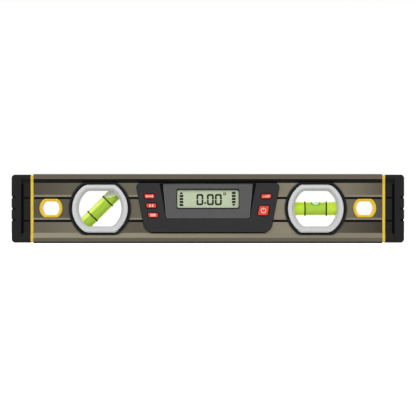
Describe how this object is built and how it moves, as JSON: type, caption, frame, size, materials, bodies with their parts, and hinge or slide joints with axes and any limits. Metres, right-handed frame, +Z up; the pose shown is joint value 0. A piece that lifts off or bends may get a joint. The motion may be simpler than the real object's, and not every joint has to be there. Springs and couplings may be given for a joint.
{
  "type": "digital spirit level",
  "caption": "Box-section level with a tilted digital angle display, a level vial, a diagonal vial, hang holes and rubber end caps.",
  "frame": {"origin": "middle of the measuring base, on the flat underside of the box profile", "axes": "+X along the level to the right as its display is read, +Z up from the base, -Y out of the display face"},
  "size_m": [0.4, 0.029, 0.0705],
  "materials": {
    "profile": "olive-grey anodised, satin",
    "end_cap": "matt moulded rubber",
    "yellow_plastic": "moulded, satin",
    "window_frame": "moulded, satin",
    "vial_carrier": "moulded, satin",
    "vial_acrylic": "clear acrylic, polished",
    "vial_spirit": "clear dyed liquid",
    "vial_bubble": "air bubble",
    "vial_line": "black band",
    "housing": "fine moulded grain",
    "panel": "satin, brushed grain",
    "display_lens": "clear window",
    "lcd": "liquid crystal cell",
    "backlight": "diffuser",
    "connector": "elastomer strip",
    "button": "satin",
    "board": "solder mask",
    "chip": "moulded resin",
    "switch_metal": "tinned sheet",
    "battery": "plain printed sleeve",
    "contact": "nickel-plated spring sheet",
    "screw": "dark zinc plate"
  },
  "bodies": {
    "level": {"box_profile": "profile", "left_end_cap": "end_cap", "right_end_cap": "end_cap", "left_end_ring": "yellow_plastic", "right_end_ring": "yellow_plastic", "left_hang_bush_front": "yellow_plastic", "left_hang_bush_back": "yellow_plastic", "right_hang_bush_front": "yellow_plastic", "right_hang_bush_back": "yellow_plastic", "diagonal_window_frame_front": "window_frame", "diagonal_window_frame_back": "window_frame", "level_window_frame_front": "window_frame", "level_window_frame_back": "window_frame", "diagonal_vial_carrier_front": "vial_carrier", "diagonal_vial_carrier_back": "vial_carrier", "level_vial_carrier_front": "vial_carrier", "level_vial_carrier_back": "vial_carrier", "diagonal_vial_tube": "vial_acrylic", "level_vial_tube": "vial_acrylic", "diagonal_vial_plug": "vial_acrylic", "level_vial_plug": "vial_acrylic", "diagonal_vial_line_a": "vial_line", "diagonal_vial_line_b": "vial_line", "level_vial_line_a": "vial_line", "level_vial_line_b": "vial_line", "diagonal_vial_spirit": "vial_spirit", "level_vial_spirit": "vial_spirit", "display_housing": "housing", "rear_housing": "housing", "display_panel": "panel", "display_lens": "display_lens", "lcd_cell": "lcd", "lcd_backlight": "backlight", "lcd_connector": "connector", "circuit_board": "board", "upper_left_switch": "switch_metal", "middle_left_switch": "switch_metal", "lower_left_switch": "switch_metal", "small_right_switch": "switch_metal", "large_right_switch": "switch_metal", "tilt_sensor": "switch_metal", "processor": "chip", "buzzer": "chip", "upper_battery": "battery", "lower_battery": "battery", "battery_bridge": "contact", "upper_battery_contact": "contact", "lower_battery_contact": "contact", "housing_screw_1": "screw", "housing_screw_2": "screw", "housing_screw_3": "screw", "housing_screw_4": "screw"},
    "upper_left_key": {"upper_left_button": "button"},
    "middle_left_key": {"middle_left_button": "button"},
    "lower_left_key": {"lower_left_button": "button"},
    "small_right_key": {"small_right_button": "button"},
    "large_right_key": {"large_right_button": "button"},
    "door": {"battery_door": "housing"},
    "diagonal_bubble": {"diagonal_vial_bubble": "vial_bubble"},
    "level_bubble": {"level_vial_bubble": "vial_bubble"}
  },
  "joints": [
    {"name": "upper_left_button_press", "type": "slide", "parent": "level", "child": "upper_left_key", "axis": [0, 1, 0], "range_m": [0, 0.0006], "stiffness_N_per_m": 1500, "springref_m": -0.0005},
    {"name": "middle_left_button_press", "type": "slide", "parent": "level", "child": "middle_left_key", "axis": [0, 1, 0], "range_m": [0, 0.0006], "stiffness_N_per_m": 1500, "springref_m": -0.0005},
    {"name": "lower_left_button_press", "type": "slide", "parent": "level", "child": "lower_left_key", "axis": [0, 1, 0], "range_m": [0, 0.0006], "stiffness_N_per_m": 1500, "springref_m": -0.0005},
    {"name": "small_right_button_press", "type": "slide", "parent": "level", "child": "small_right_key", "axis": [0, 1, 0], "range_m": [0, 0.0006], "stiffness_N_per_m": 1500, "springref_m": -0.0005},
    {"name": "large_right_button_press", "type": "slide", "parent": "level", "child": "large_right_key", "axis": [0, 1, 0], "range_m": [0, 0.0006], "stiffness_N_per_m": 1500, "springref_m": -0.0005},
    {"name": "battery_door_removal", "type": "slide", "parent": "level", "child": "door", "axis": [0, 1, 0], "range_m": [0, 0.03]},
    {"name": "level_bubble_travel", "type": "slide", "parent": "level", "child": "level_bubble", "axis": [1, 0, 0], "range_m": [-0.0161, 0.0161], "stiffness_N_per_m": 0.2},
    {"name": "diagonal_bubble_travel", "type": "slide", "parent": "level", "child": "diagonal_bubble", "axis": [0.7071, 0, 0.7071], "range_m": [-0.0322, 0], "stiffness_N_per_m": 0.2, "springref_m": 0.02}
  ]
}
